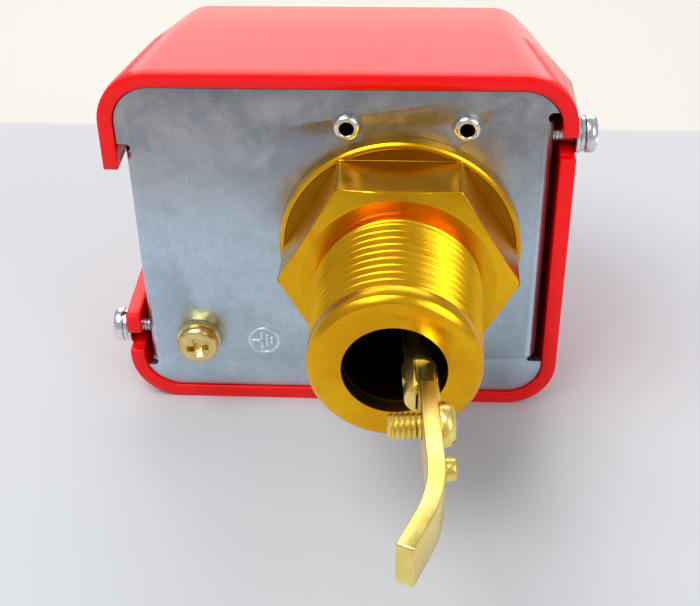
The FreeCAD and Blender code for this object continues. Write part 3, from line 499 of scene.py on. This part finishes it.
def pipeFitting(v):
    turns = [k * v["step"] for k in range(int(360 / v["step"]))]
    for corner in range(0, 360, 60):
        turns += [(corner + off) % 360 for off in (-1.2, -0.8, -0.4, 0.4, 0.8, 1.2)]
    turns = [math.radians(t) for t in sorted(set(turns))]
    turns.append(2 * math.pi)
    rows = fittingRows(v)
    corners = []
    for row in rows:
        for turn in turns:
            radius, y = row(turn)
            corners.append((radius * math.cos(turn) * mm, y * mm, radius * math.sin(turn) * mm))
    piece = build("pipeFitting", corners, gridFaces(len(rows), len(turns), True, False))
    return dress(piece, "fittingBrass", "base", ["pipe_fitting", "fitting_flange"], 35)


pipeFitting(fittingValues)
print("pipe fitting made")

screwValues = {
    "cover": {
        "head": 3.85, "height": 2.6, "shank": 1.95, "shoulder": 1.4, "recess": 2.6, "blade": 1.1, "slot": 1.0,
        "springWasher": 0.5, "flatWasher": 1.0, "turnRight": -4, "turnLeft": 65,
    },
    "earth": {
        "head": 4.5, "height": 2.4, "shank": 1.95, "shoulder": 1.2, "recess": 3.7, "blade": 1.5, "slot": 0.0,
        "turn": 8,
    },
    "paddle": {
        "head": 4.0, "height": 3.0, "shank": 2.4, "shoulder": 1.7, "recess": 0.0, "blade": 0.0, "slot": 0.9,
        "length": 8.8, "pitch": 0.95, "turn": 20,
    },
}
splitValues = {
    "outer": 3.6, "inner": 2.05, "thick": 0.78, "gap": 14, "lift": 0.12, "turn": 80, "edge": 0.1, "steps": 60,
}


def boxTool(name, centre, across, over, along, sizes, taper=1.0):
    # a box, narrower at its lower end, as a cutting tool
    corners = []
    for h in (-0.5, 0.5):
        grow = taper if h < 0 else 1.0
        for s, t in ((-0.5, -0.5), (0.5, -0.5), (0.5, 0.5), (-0.5, 0.5)):
            offset = across * (s * sizes[0] * grow) + over * (t * sizes[1]) + along * (h * sizes[2])
            corners.append(centre + offset * mm)
    faces = [(0, 3, 2, 1), (4, 5, 6, 7), (0, 1, 5, 4), (1, 2, 6, 5), (2, 3, 7, 6), (3, 0, 4, 7)]
    return build(name, corners, faces)


def panHead(name, v, seat, axis, length, turn=0.0, pitch=0.7, tail=0.0):
    # a pan head on a threaded shank; seat is the underside of the head, axis points out of the head
    head, height, shank = v["head"], v["height"], v["shank"]
    rim = v["shoulder"]
    profile = [(0, height), (head * 0.35, height - 0.04), (head * 0.62, height - 0.18)]
    profile += arc(head - rim, height - 0.28 - rim * 0.92, rim, 75, 8, 7)
    profile += [(head, 0.35), (head - 0.12, 0.08), (head - 0.3, 0.0), (shank, 0.0)]
    steps = int(length / pitch)
    for i in range(steps):
        y = -0.25 - i * pitch
        profile += [(shank, y), (shank - 0.32, y - pitch * 0.45), (shank - 0.32, y - pitch * 0.55)]
    profile += [(shank - 0.1, -length + 0.4), (shank - 0.6, -length), (0, -length)]
    profile = [p for p in profile if p[1] >= -length]
    piece = turnedPiece(name, profile, seat, axis, 48)
    across, over, along = frameOf(axis)
    spin = Matrix.Rotation(turn, 3, along)
    across, over = spin @ across, spin @ over
    tools = []
    top = seat + along * (height * mm)
    if v["recess"]:
        for one, two in ((across, over), (over, across)):
            sizes = (v["recess"] * 2, v["blade"], 3.0)
            tools.append(boxTool("tool", top - along * (0.1 * mm), one, two, along, sizes, 0.35))
    if v["slot"]:
        sizes = (head * 2.4, v["slot"], 1.7)
        tools.append(boxTool("tool", top - along * (0.05 * mm), across, over, along, sizes))
    return cut(piece, tools)


def helixWasher(name, centre, axis, v):
    # a split ring whose two ends stand a little apart along the axis
    across, over, along = frameOf(axis)
    corners = []
    steps, e = v["steps"], v["edge"]
    outer, inner, half = v["outer"], v["inner"], 0.5 * v["thick"]
    section = [(inner, -half + e), (inner + e, -half), (outer - e, -half), (outer, -half + e)]
    section += [(outer, half - e), (outer - e, half), (inner + e, half), (inner, half - e)]
    for i in range(steps + 1):
        share = i / steps
        angle = math.radians(v["turn"] + v["gap"] / 2 + (360 - v["gap"]) * share)
        ring = across * math.cos(angle) + over * math.sin(angle)
        for radius, height in section:
            corners.append(centre + (ring * radius + along * (height + v["lift"] * (share - 0.5))) * mm)
    faces = gridFaces(steps + 1, len(section), False, True)
    last = steps * len(section)
    faces += [tuple(range(len(section) - 1, -1, -1)), tuple(last + i for i in range(len(section)))]
    return build(name, corners, faces)


def join(name, pieces):
    # several meshes as one piece
    work = bmesh.new()
    for piece in pieces:
        work.from_mesh(piece.data)
        bpy.data.objects.remove(piece)
    mesh = bpy.data.meshes.new(name)
    work.to_mesh(mesh)
    work.free()
    return show(name, mesh)


def coverScrews():
    flats, springs = [], []
    for side, name in ((1, "coverScrewRight"), (-1, "coverScrewLeft")):
        node = "cover_screw_right" if side > 0 else "cover_screw_left"
        low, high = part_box(node)
        centre = (low + high) / 2
        tip, crown = (low.x, high.x) if side > 0 else (high.x, low.x)
        v = screwValues["cover"]
        seat = Vector((crown - side * v["height"] * mm, centre.y, centre.z))
        length = abs(seat.x - tip) / mm
        axis = Vector((side, 0, 0))
        turn = math.radians(v["turnRight"] if side > 0 else v["turnLeft"])
        piece = panHead(name, v, seat, axis, length, turn)
        dress(piece, "platedScrew", "base", [node], 32)
        springAt = seat - axis * (v["springWasher"] * mm)
        springs.append(helixWasher("ring", springAt, axis, splitValues))
        flatAt = seat - axis * (v["flatWasher"] * mm)
        profile = [(2.1, -0.9), (3.85, -0.9), (4.0, -0.78), (4.0, -0.17), (3.88, -0.05), (2.1, -0.05)]
        flats.append(turnedPiece("ring", profile, flatAt, axis, 64))
    dress(join("coverSpringWashers", springs), "platedScrew", "base", ["cover_spring_washers"], 35)
    dress(join("coverFlatWashers", flats), "platedScrew", "base", ["cover_flat_washers"], 35)


coverScrews()


def earthTerminal():
    low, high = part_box("earth_screw")
    centre = (low + high) / 2
    v = screwValues["earth"]
    axis = Vector((0, -1, 0))
    seat = Vector((centre.x, low.y + v["height"] * mm, centre.z))
    length = (high.y - seat.y) / mm
    piece = panHead("earthScrew", v, seat, axis, length, math.radians(v["turn"]))
    dress(piece, "yellowZinc", "base", ["earth_screw"], 32)
    low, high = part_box("earth_washer")
    outer = (high.x - low.x) / 2 / mm
    thick = (high.y - low.y) / mm
    profile = [(2.1, 0.0), (outer - 0.15, 0.0), (outer, 0.12)]
    profile += [(outer, thick - 0.2), (outer - 0.25, thick), (2.1, thick)]
    washer = turnedPiece("earthWasher", profile, Vector((centre.x, high.y, centre.z)), axis, 64)
    dress(washer, "yellowZinc", "base", ["earth_washer"], 35)


earthTerminal()

signValues = {
    "x": -29.8, "z": -26.4, "radius": 3.55, "width": 0.62, "height": 0.22, "stroke": 0.45,
    "bars": [
        ((-2.5, 0.0), (-0.6, 0.0)), ((-0.5, -1.9), (-0.5, 1.9)), ((0.6, -1.25), (0.6, 1.25)),
        ((1.65, -0.65), (1.65, 0.65)),
    ],
}


def earthSign(v):
    # raised ring and earth symbol, pressed into the plate; the symbol lies on its side
    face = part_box("base_plate")[0].y / mm
    centre = Vector((v["x"], face, v["z"])) * mm
    out = Vector((0, -1, 0))
    w, h = v["width"], v["height"]
    r = v["radius"]
    ring = [(r - w, -0.1), (r - w, h * 0.3), (r - w * 0.7, h), (r - w * 0.3, h), (r, h * 0.3), (r, -0.1)]
    made = [turnedPiece("ring", ring, centre, out, 72)]
    for (x0, z0), (x1, z1) in v["bars"]:
        sizes = (abs(x1 - x0) + v["stroke"], abs(z1 - z0) + v["stroke"], h + 0.1)
        at = centre + Vector(((x0 + x1) / 2, 0, (z0 + z1) / 2)) * mm + out * (h / 2 - 0.05) * mm
        made.append(boxTool("bar", at, Vector((1, 0, 0)), Vector((0, 0, 1)), out, sizes))
    # painted highlight: the sign's finish is far paler than the plate
    dress(join("earthSign", made), "signPaintedHighlight", "base", (), 30)


earthSign(signValues)


def frameRivets():
    # hollow rivets: rolled rim in front of the plate, spread foot behind the bracket
    made = []
    low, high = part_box("frame_rivets")
    start = low.y / mm
    z = (low.z + high.z) / 2 / mm
    for x in (low.x / mm + 2.8, high.x / mm - 2.8):
        depth = (high.y - low.y) / mm
        profile = [(1.45, -depth + 0.3), (1.45, -0.75)]
        profile += arc(1.85, -0.42, 0.40, 180, 70, 6) + arc(1.75, -0.97, 0.95, 55, 0, 6)
        profile += [(2.7, -1.35), (2.7, -1.5), (1.9, -1.5), (1.9, -6.0), (2.75, -6.0)]
        profile += [(2.8, -6.2), (2.65, -6.7), (2.1, -6.9), (1.6, -6.85)]
        made.append(turnedPiece("rivet", profile, Vector((x, start, z)) * mm, (0, -1, 0), 56))
    dress(join("frameRivets", made), "rivetSteel", "base", ["frame_rivets"], 40)


frameRivets()
print("screws, washers, rivets and the earth sign made")

copies = [
    ("coverShell", "cover", "coverRed", "cap", 0.45),
    ("basePlate", "base_plate", "zincSheet", "base", 0.18),
    ("lockRing", "fitting_lock_ring", "fittingBrass", "base", 0.2),
    ("bellowsSeat", "bellows_seat", "fittingBrass", "base", 0.15),
    ("switchBracket", "switch_bracket", "zincSheet", "base", 0.15),
    ("springBracket", "spring_bracket", "zincSheet", "base", 0.15),
    ("framePosts", "frame_posts", "springSteel", "base", 0.15),
    ("postScrews", "post_screws", "platedScrew", "base", 0.1),
    ("pivotPin", "pivot_pin", "springSteel", "base", 0.12),
    ("pivotClips", "pivot_clips", "springSteel", "base", 0.08),
    ("pivotSpacers", "pivot_spacers", "terminalBrass", "base", 0.1),
    ("earthNut", "earth_nut", "yellowZinc", "base", 0.15),
    ("coverNuts", "cover_nuts", "platedScrew", "base", 0.15),
    ("leverRod", "lever_rod", "armBrass", "arm", 0.18),
    ("paddleBar", "paddle_bar", "armBrass", "arm", 0.22),
    ("barRivet", "bar_rivet", "armBrass", "arm", 0.15),
    ("locatingPin", "locating_pin", "armBrass", "arm", 0.3),
    ("bellowsCollar", "bellows_collar", "terminalBrass", "arm", 0.2),
    ("leverPlate", "lever_plate", "zincSheet", "arm", 0.12),
    ("leverScrew", "lever_screw", "platedScrew", "arm", 0.1),
    ("leverNut", "lever_nut", "platedScrew", "arm", 0.15),
    ("tripScrew", "trip_screw", "platedScrew", "arm", 0.12),
    ("tripLockNut", "trip_lock_nut", "platedScrew", "arm", 0.15),
    ("switchCase", "switch_case", "switchBlack", "base", 0.2),
    ("switchLid", "switch_lid", "switchLid", "base", 0.2),
    ("switchPlunger", "switch_plunger", "plungerRed", "plunger", 0.1),
    ("contactBlade", "contact_blade", "springSteel", "base", 0.06),
    ("switchScrews", "switch_screws", "platedScrew", "base", 0.1),
    ("switchNuts", "switch_nuts", "platedScrew", "base", 0.12),
    ("terminalTabs", "terminal_tabs", "terminalBrass", "base", 0.1),
    ("terminalClamps", "terminal_clamps", "platedScrew", "base", 0.1),
    ("terminalScrews", "terminal_screws", "platedScrew", "base", 0.1),
    ("springNut", "spring_nut", "terminalBrass", "adjuster_nut", 0.12),
    ("rangeScrew", "range_screw", "terminalBrass", "adjuster", 0.12),
    ("rangeClip", "range_clip", "springSteel", "adjuster", 0.08),
]

coverForm = {
    "start": 17.6, "fold": 32.6, "end": 72.1, "drop": 10.3, "skin": 3.05,
    "shift": 2.8, "inset": 4.5, "backInset": 3.7, "lift": 0.9,
    "below": {"left": 17.0, "right": 9.5, "under": 7.5},
}


def drawIn(piece, v):
    # the cover's upper and lower corners lean in behind the rim, clear of the folded walls
    low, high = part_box("cover")
    centre, half = (low.x + high.x) / 2 / mm, (high.x - low.x) / 2 / mm
    slope = v["drop"] / (v["end"] - v["fold"])
    cuts = [((0, v["start"], 0), (0, 1, 0))]
    for name, below in v["below"].items():
        height = low.z / mm + below if name == "under" else high.z / mm - below
        side = -1 if name == "under" else 1
        cuts += [((0, v["fold"], height), (0, 0, 1)), ((0, v["fold"], height), (0, slope * side, 1))]
    work = bmesh.new()
    work.from_mesh(piece.data)
    for place, normal in cuts:
        geometry = work.verts[:] + work.edges[:] + work.faces[:]
        bmesh.ops.bisect_plane(work, geom=geometry, dist=1e-7, plane_co=Vector(place) * mm, plane_no=normal)
    for line in work.edges:
        if all(abs(end.co.y - v["fold"] * mm) < 1e-5 for end in line.verts):
            line.smooth = False
    for vertex in work.verts:
        x, y, z = vertex.co / mm
        edge = (-low.z if z < 0 else high.z) / mm - max(y - v["fold"], 0) * slope
        below = v["below"]["under" if z < 0 else "left" if x < centre else "right"]
        weight = min(max((abs(z) - edge + below) / (below - v["skin"]), 0), 1)
        if y <= v["start"] or weight == 0:
            continue
        if y < v["fold"]:
            share = (y - v["start"]) / (v["fold"] - v["start"])
            inset, shift, lift = v["inset"] * share, v["shift"] * share, 0.0
        else:
            share = (y - v["fold"]) / (v["end"] - v["fold"])
            inset = v["inset"] + (v["backInset"] - v["inset"]) * share
            shift, lift = v["shift"] * (1 - share), v["lift"] * share
        x = centre + (x - centre) * (1 - weight * inset / half)
        z += math.copysign(lift * weight, z)
        vertex.co = Vector((x, y + shift * weight, z)) * mm
    work.to_mesh(piece.data)
    work.free()


for name, node, finish, body, edge in copies:
    piece = softCopy(name, node, finish, body, edge)
    if name == "coverShell":
        drawIn(piece, coverForm)
print("sheet metal, arm, switch and cover made")


bellowsValues = {"pivotY": 29.0, "folds": 6, "pitch": 2.7, "root": 6.75, "crest": 8.95, "sheet": 0.35}


def bellowsFolds(v):
    # thin folded tube, turned about the arm, from the collar to its cuff in the seat
    low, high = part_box("bellows")
    seatFace, pivotY = high.y / mm, v["pivotY"]
    folds, pitch, root, crest = v["folds"], v["pitch"], v["root"], v["crest"]
    end = seatFace - pivotY - 1.1
    front = end - folds * pitch - 0.8
    profile = [(2.6, front + 0.15), (2.6, front + 0.6), (5.9, front + 0.75)]
    inside, outside = [], []
    for i in range(folds * 12 + 1):
        y = front + 0.8 + i * pitch / 12
        swell = 0.5 - 0.5 * math.cos(2 * math.pi * i / 12)
        outside.append((root + (crest - root) * swell ** 0.8, y))
        inside.append((root - v["sheet"] + (crest - root) * swell ** 0.8, y))
    profile += inside + [(outside[-1][0], end)] + outside[::-1] + [(root, front + 0.3), (root - 0.3, front)]
    corners, faces = lathe(profile, Vector((0, pivotY * mm, 0)), -outward, 72)
    folded = build("folds", corners, faces)
    lip = [(6.5, 0.0), (13.0, 0.0), (13.0, -0.8), (8.2, -0.8), (8.2, -2.2), (6.5, -2.2)]
    cuff = turnedPiece("cuff", lip, Vector((0, high.y, 0)), (0, 1, 0), 72)
    piece = join("bellowsTube", [folded, cuff])
    dress(piece, "bellowsBronze", None, ["bellows"], 50)
    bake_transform(piece)


bellowsFolds(bellowsValues)
springValues = {"wire": 0.5, "turnsLive": 6.0, "turnsEnd": 0.8, "steps": 36, "keep": 0.77}


def rangeSpring(v):
    # coil with closed ends; wire is half the wire's thickness
    low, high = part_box("range_spring")
    centre = (low + high) / 2
    wire, radius = v["wire"], (high.z - low.z) / 2 / mm - v["wire"]
    length = (high.x - low.x) / mm
    turnsLive, steps = v["turnsLive"], v["steps"]
    path = []
    total = int((turnsLive + 2 * v["turnsEnd"]) * steps)
    for i in range(total + 1):
        done = i / steps
        live = min(max(done - v["turnsEnd"], 0), turnsLive)
        x = wire + (length - 2 * wire) * (live / turnsLive)
        angle = 2 * math.pi * done
        around = Vector((0, radius * math.cos(angle), radius * math.sin(angle)))
        path.append(Vector((low.x / mm + x, centre.y / mm, centre.z / mm)) + around)
    corners = []
    ring = 10
    for i, point in enumerate(path):
        way = (path[min(i + 1, total)] - path[max(i - 1, 0)]).normalized()
        side = way.cross(Vector((1, 0, 0))).normalized()
        up = side.cross(way).normalized()
        for k in range(ring):
            a = 2 * math.pi * k / ring
            corners.append((point + (side * math.cos(a) + up * math.sin(a)) * wire) * mm)
    faces = gridFaces(total + 1, ring, False, True)
    faces += [tuple(range(ring)), tuple(total * ring + k for k in range(ring - 1, -1, -1))]
    piece = build("rangeSpring", corners, faces)
    dress(piece, "springSteel", "base", ["range_spring"], 60)
    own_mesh(piece)


rangeSpring(springValues)


def paddleScrew():
    v = screwValues["paddle"]
    seat = middle("paddle_screw") + sideways * ((v["length"] + v["height"]) / 2 - v["height"]) * mm
    piece = panHead("paddleScrew", v, seat, sideways, v["length"], math.radians(v["turn"]), v["pitch"])
    dress(piece, "armBrass", "arm", ["paddle_screw"], 32)


paddleScrew()
print("bellows, spring and paddle screw made")


def lamp(name, size, power, place, target, colour):
    light = bpy.data.lights.new(name, "AREA")
    light.shape = "RECTANGLE"
    light.size, light.size_y = size
    light.energy = power
    light.color = colour
    piece = bpy.data.objects.new(name, light)
    piece.location = place
    piece.rotation_euler = (Vector(target) - Vector(place)).to_track_quat("-Z", "Y").to_euler()
    bpy.context.scene.collection.objects.link(piece)


sceneValues = {
    "camera": (0.004177, -0.205051, 0.143996), "yaw": -3.84, "pitch": 35.85, "roll": -1.13,
    "lens": 65.08, "sensor": 36.0, "floorHalf": 3.0, "edgeY": 0.146, "edgeBlur": 0.0015,
    "floor": (0.56, 0.58, 0.61), "wall": (0.72, 0.69, 0.62),
    "world": (0.62, 0.64, 0.67), "worldStrength": 0.75,
    "lamps": [  # name, size, power, place, target, colour
        ("key", (0.5, 0.35), 2.9, (-0.25, -0.15, 0.55), (0, 0.02, 0), (1.0, 0.99, 0.97)),
        ("back", (1.3, 0.9), 8.0, (0.0, 1.1, 0.55), (0, 0.05, 0), (1.0, 0.99, 0.97)),
        ("fill", (0.4, 0.4), 1.4, (0.45, -0.35, 0.35), (0, 0.0, 0), (0.97, 0.98, 1.0)),
    ],
}


def studio(v):
    floorLevel = cadBox[0].z
    half = v["floorHalf"]
    corners = [(x * half, y * half, floorLevel) for x, y in ((-1, -1), (1, -1), (1, 1), (-1, 1))]
    mesh = bpy.data.meshes.new("floor")
    mesh.from_pydata(corners, [], [(0, 1, 2, 3)])
    floor = show("floor", mesh)
    paint = Paint("floor paint", None, {"Metallic": 0.0})
    paint.rough(0.55)
    band = paint.y.fade(v["edgeY"] - v["edgeBlur"], v["edgeY"] + v["edgeBlur"])
    paint.colour(paint.mix(band, v["floor"], v["wall"]))
    mesh.materials.append(paint.material)
    world = bpy.data.worlds.new("studio")
    bpy.context.scene.world = world
    world.use_nodes = True
    sky = world.node_tree.nodes["Background"]
    sky.inputs["Color"].default_value = (*v["world"], 1)
    sky.inputs["Strength"].default_value = v["worldStrength"]
    for values in v["lamps"]:
        lamp(*values)
    camera = bpy.data.cameras.new("camera")
    camera.lens = v["lens"]
    camera.sensor_width = v["sensor"]
    camera.clip_start = 0.005
    piece = bpy.data.objects.new("camera", camera)
    place = Matrix.Translation(v["camera"])
    place = place @ Matrix.Rotation(math.radians(-v["yaw"]), 4, "Z")
    place = place @ Matrix.Rotation(math.pi / 2 - math.radians(v["pitch"]), 4, "X")
    piece.matrix_world = place @ Matrix.Rotation(math.radians(v["roll"]), 4, "Z")
    bpy.context.scene.collection.objects.link(piece)
    bpy.context.scene.camera = piece
    bpy.context.scene.view_settings.view_transform = "Standard"


studio(sceneValues)
print("studio made")
